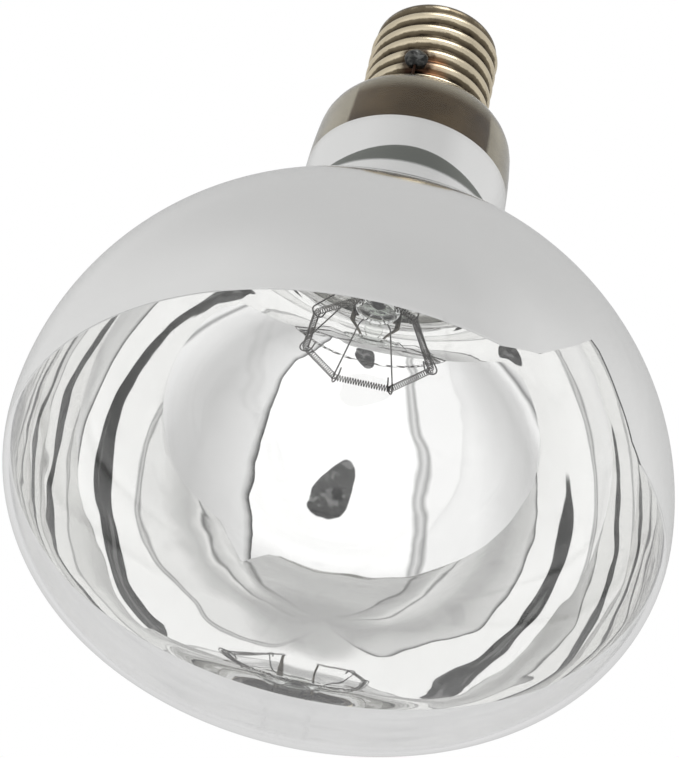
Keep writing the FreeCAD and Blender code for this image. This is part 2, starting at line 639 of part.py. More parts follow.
nodes = [
    glass_bulb, mirror_film, neck_film, stem_flare, stem_press, exhaust_tube, arbor, *supports,
    filament, *inner_leads, centre_lead, side_lead, cap_cement, screw_shell, cap_insulator,
    contact_plate, contact_solder, side_solder,
]

doc.recompute()
failed = [item.Name for item in doc.Objects if {"Invalid", "Error"} & set(item.State)]
if failed:
    raise RuntimeError(f"these objects did not build: {failed}")
for node in nodes:
    if node.Shape.isNull() or not node.Shape.isValid() or not node.Shape.Solids:
        raise RuntimeError(f"{node.Label} has no sound shape")
os.makedirs("parts", exist_ok=True)
for node in nodes:
    node.Shape.exportStep(f"parts/{node.Label}.step")
    print(node.Label, len(node.Shape.Solids), "solid", round(node.Shape.Volume, 2), "mm3")
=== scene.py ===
import bisect
import math

import bmesh
import bpy
from mathutils import Matrix, Vector, noise


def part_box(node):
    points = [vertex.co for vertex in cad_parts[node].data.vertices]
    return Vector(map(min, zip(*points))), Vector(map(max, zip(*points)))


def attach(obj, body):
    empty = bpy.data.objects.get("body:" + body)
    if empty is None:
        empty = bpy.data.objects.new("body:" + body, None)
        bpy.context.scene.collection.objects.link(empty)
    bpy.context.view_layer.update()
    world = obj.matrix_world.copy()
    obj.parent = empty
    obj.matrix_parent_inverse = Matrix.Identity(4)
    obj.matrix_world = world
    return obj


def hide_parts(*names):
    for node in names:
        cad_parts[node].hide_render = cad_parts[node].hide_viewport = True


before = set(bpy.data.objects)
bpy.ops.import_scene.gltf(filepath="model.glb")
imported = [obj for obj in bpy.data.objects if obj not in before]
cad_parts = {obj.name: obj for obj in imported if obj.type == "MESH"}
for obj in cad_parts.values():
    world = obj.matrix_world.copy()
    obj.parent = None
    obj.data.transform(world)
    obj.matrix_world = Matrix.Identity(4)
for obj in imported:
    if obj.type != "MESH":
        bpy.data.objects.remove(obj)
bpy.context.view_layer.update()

# Infrared reflector heat lamp, hanging face down with its screw cap on top.
# The origin is the lowest point of the face. Lengths are in metres, and MM turns millimetres into them.
# Named angles are in degrees.
MM = 0.001

# Camera: below the lamp and looking up into its face, at the photograph's angle and distance.
# It leans to the left, because the photograph shows the lamp leaning to the right.
RIM_HEIGHT = 37.1 * MM
CAMERA_DISTANCE = 635 * MM
LOOKING_UP = 37.75
CAMERA_LEAN = 12.71
AIM_RIGHT = 0.057
AIM_UP = 1.948
up = math.radians(LOOKING_UP)
turned = Matrix.Rotation(math.pi / 2 + up, 4, "X")
for degrees, axis in ((CAMERA_LEAN, "Z"), (-AIM_RIGHT, "Y"), (AIM_UP, "X")):
    turned = turned @ Matrix.Rotation(math.radians(degrees), 4, axis)
camera_data = bpy.data.cameras.new("camera")
camera_data.sensor_width = 36
camera_data.lens = 162.7
camera = bpy.data.objects.new("camera", camera_data)
camera_place = Vector((0, -math.cos(up), -math.sin(up))) * CAMERA_DISTANCE + Vector((0, 0, RIM_HEIGHT))
camera.matrix_world = Matrix.Translation(camera_place) @ turned
bpy.context.scene.collection.objects.link(camera)
bpy.context.scene.camera = camera


# Studio: a white backdrop, a pale floor far below, and a tent of white and grey cloth round the lamp.
# The mirror and the glass show the tent's cloths and seams, and the camera's dark outline in front of it.
def linear(code):
    """A colour written as sRGB hex, as the linear red, green, blue and alpha that a shader takes."""
    lights = []
    for place in (1, 3, 5):
        share = int(code[place:place + 2], 16) / 255
        lights.append(share / 12.92 if share <= 0.04045 else ((share + 0.055) / 1.055) ** 2.4)
    return lights + [1]


def add_node(tree, kind, links=None, **settings):
    """Adds a node. links gives each socket by name or number another node's output, or a plain value."""
    made = tree.nodes.new("ShaderNode" + kind)
    for setting, value in settings.items():
        setattr(made, setting, value)
    for socket, value in (links or {}).items():
        if isinstance(value, bpy.types.NodeSocket):
            tree.links.new(value, made.inputs[socket])
        else:
            made.inputs[socket].default_value = value
    return made


def set_ramp(ramp, stops):
    """Fills a colour ramp with its stops, each a place from 0 to 1 and a grey or a hex colour."""
    elements = ramp.color_ramp.elements
    while len(elements) < len(stops):
        elements.new(1)
    for element, (place, tone) in zip(elements, stops):
        element.position = place
        element.color = linear(tone) if isinstance(tone, str) else (tone, tone, tone, 1)


def start_material(name, metallic=0.0, roughness=0.5):
    """Starts a material, and gives it with its node tree and its shader."""
    material = bpy.data.materials.new(name)
    material.use_nodes = True
    shader = material.node_tree.nodes["Principled BSDF"]
    shader.inputs["Metallic"].default_value = metallic
    shader.inputs["Roughness"].default_value = roughness
    return material, material.node_tree, shader


FLOOR_DEPTH = 0.9
FLOOR_HALF = 6
floor_mesh = bpy.data.meshes.new("floor")
floor_corners = [Vector((x * FLOOR_HALF, y * FLOOR_HALF, -FLOOR_DEPTH))
                 for x, y in ((-1, -1), (1, -1), (1, 1), (-1, 1))]
floor_mesh.from_pydata(floor_corners, [], [(0, 1, 2, 3)])
floor = bpy.data.objects.new("floor", floor_mesh)
bpy.context.scene.collection.objects.link(floor)
floor.visible_transmission = False
floor.visible_glossy = False
# Matt white paint. It glows a little, so that the floor stays pale under the soft lamps.
painted_floor, tree, shader = start_material("painted_floor", roughness=0.9)
shader.inputs["Base Color"].default_value = linear("#EDEDEB")
shader.inputs["Emission Color"].default_value = linear("#FFFFFF")
shader.inputs["Emission Strength"].default_value = 0.3
floor_mesh.materials.append(painted_floor)

# Bearings in the tent: 0 is behind the lamp, 180 is the camera's side, and 90 is to the right.
# Heights in it run from -1 right below to 1 right overhead, and 0 is level with the lamp.
# Low down the cloths hang in panels with dark seams between them. Each stop is a bearing and a tone.
TENT_LIGHT = 1.32
PANELS = (
    (-180, 1.00), (-151.6, 1.00), (-150.8, 0.06), (-150.1, 0.74), (-149, 0.66), (-148, 0.16),
    (-146.4, 0.86), (-130, 0.86), (-118, 0.67), (-105, 0.54), (-98, 0.64), (-93, 0.88), (-90, 0.18),
    (-87, 0.62), (-76, 0.84), (-64, 0.44), (-61, 0.14), (-58, 0.60), (0, 0.60), (58, 0.58), (61, 0.14),
    (64, 0.44), (78, 0.58), (88, 0.84), (91, 0.18), (94, 0.80), (108, 0.68), (120, 0.53), (134, 0.49),
    (157, 0.70), (158.6, 0.04),
)
# From here round to the first stop the panel is white. It comes after the ramp, for a hard edge.
PANEL_EDGE = 159.3
# The seams run together at a point behind and below the lamp. These say how far right of the lamp and how
# far behind it that is, for each metre down.
MEETING_RIGHT = 0.16
MEETING_BEHIND = 0.70
SEAM_DRIFT = 0.02
# Towards the lamp's level no cloth is quite white, so that the clear glass keeps an outline on all sides.
LEVEL_TONE = 0.68
# Overhead the cloths are smoother, and run together into one tone.
CEILING = (
    (-180, 0.47), (-120, 0.56), (-43, 0.58), (-10, 0.45), (10, 0.45), (66, 0.58), (120, 0.56), (150, 0.47),
)
OVERHEAD_TONE = 0.50
world = bpy.data.worlds.new("tent")
bpy.context.scene.world = world
world.use_nodes = True
tree = world.node_tree
direction = add_node(tree, "TexCoord").outputs["Generated"]
# The cloths hang a little uneven, so the bearing that a seam is looked up at drifts by about a degree.
sway = add_node(tree, "TexNoise", {"Vector": direction, "Scale": 3.0, "Detail": 2.0})
drift = add_node(tree, "Math", {0: sway.outputs["Fac"], 1: 0.5}, operation="SUBTRACT")
drift = add_node(tree, "Math", {0: drift.outputs[0], 1: SEAM_DRIFT}, operation="MULTIPLY")
split = add_node(tree, "SeparateXYZ", {0: direction})
bearing = add_node(tree, "Math", {0: split.outputs["X"], 1: split.outputs["Y"]}, operation="ARCTAN2")
bearing = add_node(tree, "MapRange", {"Value": bearing.outputs[0], "From Min": -math.pi,
                                      "From Max": math.pi})
down = add_node(tree, "Math", {0: split.outputs["Z"], 1: 0.0}, operation="MINIMUM")
aside = add_node(tree, "Math", {0: down.outputs[0], 1: MEETING_RIGHT, 2: split.outputs["X"]},
                 operation="MULTIPLY_ADD")
beyond = add_node(tree, "Math", {0: down.outputs[0], 1: MEETING_BEHIND, 2: split.outputs["Y"]},
                  operation="MULTIPLY_ADD")
slanted = add_node(tree, "Math", {0: aside.outputs[0], 1: beyond.outputs[0]}, operation="ARCTAN2")
slanted = add_node(tree, "MapRange", {"Value": slanted.outputs[0], "From Min": -math.pi,
                                      "From Max": math.pi})
swayed = add_node(tree, "Math", {0: slanted.outputs[0], 1: drift.outputs[0]}, operation="ADD")
swayed = add_node(tree, "Math", {0: swayed.outputs[0], 1: 1.0}, operation="FLOORED_MODULO")
panels = add_node(tree, "ValToRGB", {0: swayed.outputs[0]})
set_ramp(panels, [(degrees / 360 + 0.5, tone) for degrees, tone in PANELS])
front = add_node(tree, "Math", {0: swayed.outputs[0], 1: PANEL_EDGE / 360 + 0.5}, operation="GREATER_THAN")
lower = add_node(tree, "Mix", {"Factor": front.outputs[0], "A": panels.outputs[0], "B": 1.0},
                 data_type="FLOAT")
ceiling = add_node(tree, "ValToRGB", {0: bearing.outputs[0]})
set_ramp(ceiling, [(degrees / 360 + 0.5, tone) for degrees, tone in CEILING])
whitest = add_node(tree, "MapRange", {"Value": split.outputs["Z"], "From Min": -0.34, "From Max": -0.10,
                                      "To Min": 1.0, "To Max": LEVEL_TONE}, interpolation_type="SMOOTHSTEP")
lower = add_node(tree, "Math", {0: lower.outputs[0], 1: whitest.outputs[0]}, operation="MINIMUM")
# The ceiling starts above the lamp's level, and is a little darker right overhead.
overhead = add_node(tree, "MapRange", {"Value": split.outputs["Z"], "From Min": 0.70, "From Max": 0.98},
                    interpolation_type="SMOOTHSTEP")
ceiling = add_node(tree, "Mix", {"Factor": overhead.outputs[0], "A": ceiling.outputs[0],
                                 "B": OVERHEAD_TONE}, data_type="FLOAT")
brighter = add_node(tree, "MapRange", {"Value": split.outputs["Z"], "From Min": 0.55, "From Max": 0.92,
                                       "To Min": 1.08, "To Max": 0.98}, interpolation_type="SMOOTHSTEP")
upper = add_node(tree, "Math", {0: ceiling.outputs[0], 1: brighter.outputs[0]}, operation="MULTIPLY")
level = add_node(tree, "MapRange", {"Value": split.outputs["Z"], "From Min": 0.10, "From Max": 0.45},
                 interpolation_type="SMOOTHSTEP")
cloth = add_node(tree, "Mix", {"Factor": level.outputs[0], "A": lower.outputs[0], "B": upper.outputs[0]},
                 data_type="FLOAT")
# The camera's dark outline is an oval in front of the lamp and below it, with a paler glint in it.
# Its place is given by a turn to the right and a dip, and its size by its half angles across and down.
OVAL_RIGHT = 1.5
OVAL_DIP = 46.5
OVAL_TILT = -13
OVAL_HALF_ACROSS = 6.6
OVAL_HALF_DOWN = 12.8
OVAL_TAPER = 0.35
OVAL_RAGGED = 0.3
GLINT_TONE = 0.12
dip = math.radians(OVAL_DIP)
beside = math.radians(OVAL_RIGHT)
facing = Vector((math.sin(beside) * math.cos(dip), -math.cos(beside) * math.cos(dip), -math.sin(dip)))
rightwards = Vector((math.cos(beside), math.sin(beside), 0))
across = Matrix.Rotation(math.radians(OVAL_TILT), 3, facing) @ rightwards
half_across = math.sin(math.radians(OVAL_HALF_ACROSS))
half_down = math.sin(math.radians(OVAL_HALF_DOWN))
sideways = add_node(tree, "VectorMath", {0: direction, 1: across / half_across}, operation="DOT_PRODUCT")
lengthways = add_node(tree, "VectorMath", {0: direction, 1: across.cross(facing) / half_down},
                      operation="DOT_PRODUCT")
towards = add_node(tree, "VectorMath", {0: direction, 1: facing}, operation="DOT_PRODUCT")
# It is wider at its upper end, and narrower at its lower one.
waist = add_node(tree, "Math", {0: lengthways.outputs["Value"], 1: OVAL_TAPER, 2: 1.0},
                 operation="MULTIPLY_ADD")
sideways = add_node(tree, "Math", {0: sideways.outputs["Value"], 1: waist.outputs[0]}, operation="MULTIPLY")
oval = add_node(tree, "CombineXYZ", {0: sideways.outputs[0], 1: lengthways.outputs["Value"]})
reach = add_node(tree, "VectorMath", {0: oval.outputs[0]}, operation="LENGTH")
# Noise makes its edge ragged. It adds 0.15 on average, so the edge lies that much past 1.
ragged = add_node(tree, "TexNoise", {"Vector": direction, "Scale": 7.0, "Detail": 2.0})
reach = add_node(tree, "Math", {0: ragged.outputs["Fac"], 1: OVAL_RAGGED, 2: reach.outputs["Value"]},
                 operation="MULTIPLY_ADD")
inside = add_node(tree, "MapRange", {"Value": reach.outputs[0], "From Min": 1.12, "From Max": 1.17,
                                     "To Min": 1.0, "To Max": 0.0})
# A greyer cloth lies behind and below the lamp, and shades off into the others.
SHEET_DIP = 56
SHEET_CORE = 9
SHEET_END = 36
SHEET_SHARE = 0.9
SHEET_TONE = 0.46
dip = math.radians(SHEET_DIP)
sheet = add_node(tree, "VectorMath", {0: direction, 1: Vector((0, math.cos(dip), -math.sin(dip)))},
                 operation="DOT_PRODUCT")
core, edge = (math.cos(math.radians(angle)) for angle in (SHEET_CORE, SHEET_END))
sheet = add_node(tree, "MapRange", {"Value": sheet.outputs["Value"], "From Min": edge, "From Max": core,
                                    "To Min": 0.0, "To Max": SHEET_SHARE},
                 interpolation_type="SMOOTHSTEP")
cloth = add_node(tree, "Mix", {"Factor": sheet.outputs[0], "A": cloth.outputs[0], "B": SHEET_TONE},
                 data_type="FLOAT")
# The oval lies over the cloths, on the camera's side alone.
ahead = add_node(tree, "Math", {0: towards.outputs["Value"], 1: 0.0}, operation="GREATER_THAN")
inside = add_node(tree, "Math", {0: inside.outputs[0], 1: ahead.outputs[0]}, operation="MULTIPLY")
glints = add_node(tree, "TexNoise", {"Vector": direction, "Scale": 14.0, "Detail": 1.0})
glint = add_node(tree, "MapRange", {"Value": glints.outputs["Fac"], "From Min": 0.56, "From Max": 0.66,
                                    "To Min": 0.0, "To Max": GLINT_TONE})
tent = add_node(tree, "Mix", {"Factor": inside.outputs[0], "A": cloth.outputs[0], "B": glint.outputs[0]},
                data_type="FLOAT")
tent = add_node(tree, "Math", {0: tent.outputs[0], 1: TENT_LIGHT}, operation="MULTIPLY")
# Mirror and glass show the tent. An even light falls on the rest, and the camera sees a white backdrop.
EVEN_LIGHT = 0.75
rays = add_node(tree, "LightPath")
mirrored = add_node(tree, "Math", {0: rays.outputs["Is Glossy Ray"],
                                   1: rays.outputs["Is Transmission Ray"]}, operation="MAXIMUM")
lit = add_node(tree, "Mix", {"Factor": mirrored.outputs[0], "A": EVEN_LIGHT, "B": tent.outputs[0]},
               data_type="FLOAT")
strength = add_node(tree, "Mix", {"Factor": rays.outputs["Is Camera Ray"], "A": lit.outputs[0], "B": 1.0},
                    data_type="FLOAT")
tree.nodes["Background"].inputs["Color"].default_value = linear("#FFFFFF")
tree.links.new(strength.outputs[0], tree.nodes["Background"].inputs["Strength"])

# Light goes round inside the mirror many times, and through the glass each time it leaves.
bpy.context.scene.cycles.max_bounces = 32
bpy.context.scene.cycles.glossy_bounces = 14
bpy.context.scene.cycles.transmission_bounces = 24

# Two soft lamps behind the cloth light what isn't mirror or glass. The third, in front and above, lights
# the cap alone and is the highlight on its metal. Each has a name, a place, a width and its watts.
LAMPS = (
    ("key_lamp", (-0.9, -0.8, 0.9), 0.7, 9),
    ("fill_lamp", (1.1, -0.5, 0.3), 0.6, 4),
    ("cap_lamp", (0.1, -0.6, 0.66), 0.55, 4),
)
LAMP_AIM = Vector((0, 0, 80 * MM))
cap_pieces = bpy.data.collections.new("lit_by_cap_lamp")
for name, place, width, watts in LAMPS:
    lamp_data = bpy.data.lights.new(name, "AREA")
    lamp_data.size = width
    lamp_data.energy = watts
    lamp = bpy.data.objects.new(name, lamp_data)
    lamp.location = place
    lamp.rotation_euler = (LAMP_AIM - Vector(place)).to_track_quat("-Z", "Y").to_euler()
    lamp.visible_glossy = name == "cap_lamp"
    lamp.visible_transmission = False
    bpy.context.scene.collection.objects.link(lamp)
    if name == "cap_lamp":
        lamp.light_linking.receiver_collection = cap_pieces

# Bulb: clear soda-lime glass, blown in one piece into a mould, with a wall of about a millimetre.
# Its face is clear, and the films cover the inside from just under the rim up to the shoulder.
BULB_RADIUS = 62.5 * MM
KNUCKLE_RADIUS = 28.5 * MM
REFLECTOR_RADIUS = 57.6 * MM
REFLECTOR_TURN = 60
CONE_LENGTH = 4.965 * MM
ROOT_FILLET = 18 * MM
NECK_LENGTH = 8.135 * MM
BARREL_RADIUS = 121 * MM
BARREL_TURN = 6.6
SHOULDER_RADIUS = 7.8 * MM
TAIL_FILLET = 1.5 * MM
TAIL_LENGTH = 7.5 * MM
GLASS_WALL = 1.0 * MM
SHOULDER_TOP = RIM_HEIGHT + 96.9 * MM
OUTLINE_STEP = 1.6 * MM
BULB_COLUMNS = 240
SHARP_EDGE = 35
ON_AXIS = 0.001 * MM
# The face's arc meets the knuckle's on one tangent, which gives its radius and how far it turns.
FACE_RADIUS = (((BULB_RADIUS - KNUCKLE_RADIUS) ** 2 + RIM_HEIGHT ** 2 - KNUCKLE_RADIUS ** 2)
               / (2 * (RIM_HEIGHT - KNUCKLE_RADIUS)))
FACE_TURN = math.degrees(math.asin((BULB_RADIUS - KNUCKLE_RADIUS) / (FACE_RADIUS - KNUCKLE_RADIUS)))


def bulb_outline(inset, step):
    """Points (radius, height) of the bulb's outline, drawn in by an inset, about a step apart."""
    # Each stroke is an arc's radius and its turn, or a straight line's length and 0.
    strokes = (
        (FACE_RADIUS - inset, FACE_TURN), (KNUCKLE_RADIUS - inset, 90 - FACE_TURN),
        (REFLECTOR_RADIUS - inset, REFLECTOR_TURN), (CONE_LENGTH, 0),
        (ROOT_FILLET + inset, -REFLECTOR_TURN), (NECK_LENGTH, 0),
        (BARREL_RADIUS - inset, BARREL_TURN), (SHOULDER_RADIUS - inset, 90 - BARREL_TURN),
        (TAIL_FILLET + inset, -90), (TAIL_LENGTH, 0),
    )
    radius, height, heading = 0.0, inset, 0.0
    points = [(radius, height)]
    for size, turn in strokes:
        turn = math.radians(turn)
        length = size * abs(turn) if turn else size
        parts = max(4, math.ceil(length / step))
        chord = 2 * size * math.sin(abs(turn) / parts / 2) if turn else length / parts
        for part in range(parts):
            heading += turn / parts / 2
            radius += chord * math.cos(heading)
            height += chord * math.sin(heading)
            heading += turn / parts / 2
            points.append((radius, height))
    return points


def spin(name, rows, columns, place):
    """A closed piece turned round the axis. place gives the corner of a row at an angle."""
    corners, rings = [], []
    for row in range(rows):
        ring = [place(row, 2 * math.pi * column / columns) for column in range(columns)]
        if ring[0].xy.length < ON_AXIS:
            rings.append([len(corners)] * columns)
            corners.append(ring[0])
            continue
        rings.append(list(range(len(corners), len(corners) + columns)))
        corners += ring
    faces = []
    for row, ring in enumerate(rings):
        after = rings[(row + 1) % rows]
        for column in range(columns):
            following = (column + 1) % columns
            face = [ring[column], ring[following], after[following], after[column]]
            face = [corner for number, corner in enumerate(face) if corner not in face[:number]]
            if len(face) > 2:
                faces.append(face)
    mesh = bpy.data.meshes.new(name)
    mesh.from_pydata(corners, [], faces)
    mesh.shade_smooth()
    mesh.set_sharp_from_angle(angle=math.radians(SHARP_EDGE))
    piece = bpy.data.objects.new(name, mesh)
    bpy.context.scene.collection.objects.link(piece)
    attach(piece, "root")
    return piece


def round_axis(radius, height, angle):
    """The point at a radius and height, turned round the axis by an angle."""
    return Vector((radius * math.cos(angle), radius * math.sin(angle), height))


bulb_section = bulb_outline(0, OUTLINE_STEP) + bulb_outline(GLASS_WALL, OUTLINE_STEP)[::-1]
bulb = spin("clear_bulb", len(bulb_section), BULB_COLUMNS,
            lambda row, angle: round_axis(*bulb_section[row], angle))
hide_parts("glass_bulb")

# Blown soda-lime glass has a fire-polished face: no grain, a hard gloss and hardly any green.
blown_glass, tree, shader = start_material("blown_soda_lime_glass", roughness=0.0)
shader.inputs["Base Color"].default_value = linear("#FDFDFD")
shader.inputs["IOR"].default_value = 1.5
shader.inputs["Transmission Weight"].default_value = 1.0
bulb.data.materials.append(blown_glass)

# Mirror: aluminium evaporated onto the inside of the glass, bright up to the neck.
# The glass was blown, so its inside isn't flat, and the mirror breaks what it shows into wavy streaks.
# The film's outside is sunk into the glass by a hair, because it lies on the glass with no air between.
FILM_OUTSIDE = 0.95 * MM
FILM_INSIDE = 1.22 * MM
MIRROR_EDGE = RIM_HEIGHT - 4.7 * MM
FILM_CHANGE = SHOULDER_TOP - 16.5 * MM
FILM_END = SHOULDER_TOP - 1.9 * MM
MIRROR_STEP = 0.75 * MM
MIRROR_COLUMNS = 360
# The waves are highest below WAVES_FULL, and die down to CALM_SHARE of that at WAVES_CALM and above.
# WAVE_STANDOFF keeps them on the inward side of the film, and they fade out within FADE of its ends.
WAVE_HEIGHT = 0.13 * MM
WAVE_STANDOFF = 0.6
WAVE_ROUND = 18 * MM
WAVE_ALONG = 13 * MM
WAVES_FULL = 46 * MM
WAVES_CALM = 72 * MM
CALM_SHARE = 0.08
RIPPLE_HEIGHT = 0.035 * MM
RIPPLE_LENGTH = 5.5 * MM
FADE = 4 * MM
# The film stops short in a notch at the front right. Each pair is an angle round the axis, where -90 is the
# front, and the lift of the film's edge there in millimetres. Above NOTCH_REACH the film isn't moved.
NOTCH = ((-69, 0), (-62, 2.5), (-56, 8.5), (-52, 13.5), (-50, 12.5), (-44, 6.5), (-38, 1.5), (-34, 0))
NOTCH_REACH = 26 * MM


def film_section(inset, low, high, step):
    """The stretch of the bulb's outline between two heights, with its ends at them."""
    points = bulb_outline(inset, step)
    chosen = []
    for (radius, height), (next_radius, next_height) in zip(points, points[1:]):
        for end in (low, high):
            if height < end <= next_height:
                share = (end - height) / (next_height - height)
                chosen.append((radius + share * (next_radius - radius), end))
        if low < next_height < high:
            chosen.append((next_radius, next_height))
    return chosen


mirror_outside = film_section(FILM_OUTSIDE, MIRROR_EDGE, FILM_CHANGE, OUTLINE_STEP)
mirror_inside = film_section(FILM_INSIDE, MIRROR_EDGE, FILM_CHANGE, MIRROR_STEP)


def travelled(section):
    """How far along a section each of its points is."""
    lengths = [0.0]
    for (radius, height), (next_radius, next_height) in zip(section, section[1:]):
        lengths.append(lengths[-1] + math.hypot(next_radius - radius, next_height - height))
    return lengths


def between(places, values, place):
    """The value at a place, on the straight line between the values at the places beside it."""
    after = min(max(bisect.bisect_right(places, place), 1), len(places) - 1)
    share = (place - places[after - 1]) / (places[after] - places[after - 1])
    share = max(0.0, min(1.0, share))
    return values[after - 1] + share * (values[after] - values[after - 1])


# A row of the mirror is a side of the film and how far along it the row lies: up outside, then down inside.
mirror_rows = []
for section, way in ((mirror_outside, 1), (mirror_inside, -1)):
    lengths = travelled(section)
    film_side = (lengths, [radius for radius, height in section], [height for radius, height in section])
    mirror_rows += [(film_side, length) for length in lengths[::way]]
notch_angles = [angle for angle, lift in NOTCH]
notch_lifts = [lift * MM for angle, lift in NOTCH]


def mirror_place(row, angle):
    """A corner of the mirror. On the inside it stands off towards the axis by the waves of the glass."""
    (lengths, radii, heights), unlifted = mirror_rows[row]
    lift = between(notch_angles, notch_lifts, (math.degrees(angle) + 180) % 360 - 180)
    length = unlifted + lift * max(0.0, 1 - unlifted / NOTCH_REACH)
    point = round_axis(between(lengths, radii, length), between(lengths, heights, length), angle)
    if row < len(mirror_outside):
        return point
    edge = min(unlifted, lengths[-1] - length) / FADE
    rise = max(0.0, min(1.0, (point.z - WAVES_FULL) / (WAVES_CALM - WAVES_FULL)))
    share = max(0.0, min(1.0, edge)) * (1 - (1 - CALM_SHARE) * rise)
    broad = Vector((point.x / WAVE_ROUND, point.y / WAVE_ROUND, point.z / WAVE_ALONG))
    wave = (noise.noise(broad) + WAVE_STANDOFF) * WAVE_HEIGHT
    wave += noise.noise(point / RIPPLE_LENGTH) * RIPPLE_HEIGHT
    inward = Vector((-point.x, -point.y, MIRROR_EDGE - point.z)).normalized()
    return point + inward * wave * share


mirror = spin("bright_mirror", len(mirror_rows), MIRROR_COLUMNS, mirror_place)
# The notch's right edge is burnt black. A corner's burn is 1 on the edge itself and 0 elsewhere, so that it
# fades out within a row above the edge.
BURNT_FROM = -54
BURNT_TO = -33
burn = mirror.data.attributes.new("burn", "FLOAT", "POINT")
for row in (0, len(mirror_rows) - 1):
    for column in range(MIRROR_COLUMNS):
        angle = (column * 360 / MIRROR_COLUMNS + 180) % 360 - 180
        if BURNT_FROM < angle < BURNT_TO:
            burn.data[row * MIRROR_COLUMNS + column].value = 1
# The thin grey film shows from outside only, so the faces that lie on the glass are marked.
outside = mirror.data.attributes.new("outside", "FLOAT", "FACE")
for face in mirror.data.polygons:
    if max(face.vertices) < len(mirror_outside) * MIRROR_COLUMNS:
        outside.data[face.index].value = 1
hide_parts("mirror_film")

# Evaporated aluminium is as smooth as the glass that it lies on, and loses about a seventh of the light.
# At the root of the neck it is drawn grey, in a lens-shaped band at the front.
GREY_LOW = SHOULDER_TOP - 29.2 * MM
GREY_HIGH = SHOULDER_TOP - 24.4 * MM
GREY_HALF_TURN = 80
GREY_UPPER_FADE = 0.25 * MM
GREY_LOWER_FADE = 0.7 * MM


def turn_from_front(tree, split):
    """How far round from the front a place on a film lies, in radians."""
    towards_front = add_node(tree, "Math", {0: split.outputs["Y"], 1: -1.0}, operation="MULTIPLY")
    turn = add_node(tree, "Math", {0: split.outputs["X"], 1: towards_front.outputs[0]}, operation="ARCTAN2")
    return add_node(tree, "Math", {0: turn.outputs[0]}, operation="ABSOLUTE").outputs[0]


evaporated_aluminium, tree, shader = start_material("evaporated_aluminium", metallic=1.0, roughness=0.02)
place = add_node(tree, "TexCoord").outputs["Object"]
split = add_node(tree, "SeparateXYZ", {0: place})
turn = turn_from_front(tree, split)
closing = add_node(tree, "MapRange", {"Value": turn, "From Min": 0.0,
                                      "From Max": math.radians(GREY_HALF_TURN), "To Min": GREY_HIGH,
                                      "To Max": GREY_LOW}, interpolation_type="SMOOTHSTEP")
below = add_node(tree, "Math", {0: closing.outputs[0], 1: split.outputs["Z"]}, operation="SUBTRACT")
crisp = add_node(tree, "MapRange", {"Value": below.outputs[0], "From Min": 0.0,
                                    "From Max": GREY_UPPER_FADE})
soft = add_node(tree, "MapRange", {"Value": split.outputs["Z"], "From Min": GREY_LOW,
                                   "From Max": GREY_LOW + GREY_LOWER_FADE})
grey = add_node(tree, "Math", {0: crisp.outputs[0], 1: soft.outputs[0]}, operation="MULTIPLY")
outside = add_node(tree, "Attribute", attribute_name="outside")
grey = add_node(tree, "Math", {0: grey.outputs[0], 1: outside.outputs["Fac"]}, operation="MULTIPLY")
tone = add_node(tree, "Mix", {"Factor": grey.outputs[0], "A": linear("#EEEEED"), "B": linear("#6E716C")},
                data_type="RGBA")
darkening = add_node(tree, "Attribute", attribute_name="burn")
line = add_node(tree, "MapRange", {"Value": darkening.outputs["Fac"], "From Min": 0.60, "From Max": 0.72})
tone = add_node(tree, "Mix", {"Factor": line.outputs[0], "A": tone.outputs["Result"],
                              "B": linear("#151515")}, data_type="RGBA")
tree.links.new(tone.outputs["Result"], shader.inputs["Base Color"])
mirror.data.materials.append(evaporated_aluminium)

# Browned film: the same aluminium on the shoulder, where the lamp's heat has turned it beige.
# On the front a dark brown reflection is painted into it, in a patch that reaches down to where the bright
# mirror starts.
BROWN_STEP_OUTSIDE = 0.5 * MM
BROWN_STEP_INSIDE = 1.0 * MM
brown_outside = film_section(FILM_OUTSIDE, FILM_CHANGE, FILM_END, BROWN_STEP_OUTSIDE)
brown_inside = film_section(FILM_INSIDE, FILM_CHANGE, FILM_END, BROWN_STEP_INSIDE)
brown_section = brown_outside + brown_inside[::-1]
browned = spin("browned_film", len(brown_section), BULB_COLUMNS,
               lambda row, angle: round_axis(*brown_section[row], angle))
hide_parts("neck_film")

# Browned by heat, the film keeps its gloss under the glass and is a clouded beige. Its tobacco brown front
# is a painted reflection, and the pale band along its top, next to the cap, is a painted highlight.
# PATCH_SIDE_FADE and PATCH_UNEVEN are in radians.
PATCH_HALF_TURN = 45
PATCH_TOP = SHOULDER_TOP - 4.5 * MM
PATCH_FADE = 4 * MM
PATCH_SIDE_FADE = 0.05
PATCH_UNEVEN = 0.06
CLOUD_SIZE = 9 * MM
LIP = SHOULDER_TOP - 4 * MM
LIP_FADE = 0.5 * MM
heated_aluminium, tree, shader = start_material("heat_browned_aluminium", metallic=1.0, roughness=0.03)
place = add_node(tree, "TexCoord").outputs["Object"]
split = add_node(tree, "SeparateXYZ", {0: place})
turn = turn_from_front(tree, split)
cloud = add_node(tree, "TexNoise", {"Vector": place, "Scale": 1 / CLOUD_SIZE, "Detail": 3.0})
turn = add_node(tree, "Math", {0: cloud.outputs["Fac"], 1: PATCH_UNEVEN, 2: turn}, operation="MULTIPLY_ADD")
half_turn = math.radians(PATCH_HALF_TURN)
flanks = add_node(tree, "MapRange", {"Value": turn.outputs[0], "From Min": half_turn,
                                     "From Max": half_turn + PATCH_SIDE_FADE, "To Min": 1.0, "To Max": 0.0},
                  interpolation_type="SMOOTHSTEP")
top = add_node(tree, "MapRange", {"Value": split.outputs["Z"], "From Min": PATCH_TOP - PATCH_FADE,
                                  "From Max": PATCH_TOP, "To Min": 1.0, "To Max": 0.0},
               interpolation_type="SMOOTHSTEP")
# The painted reflection: full on the front within PATCH_HALF_TURN, fading out at its sides and towards its
# top.
painted_reflection = add_node(tree, "Math", {0: flanks.outputs[0], 1: top.outputs[0]}, operation="MULTIPLY")
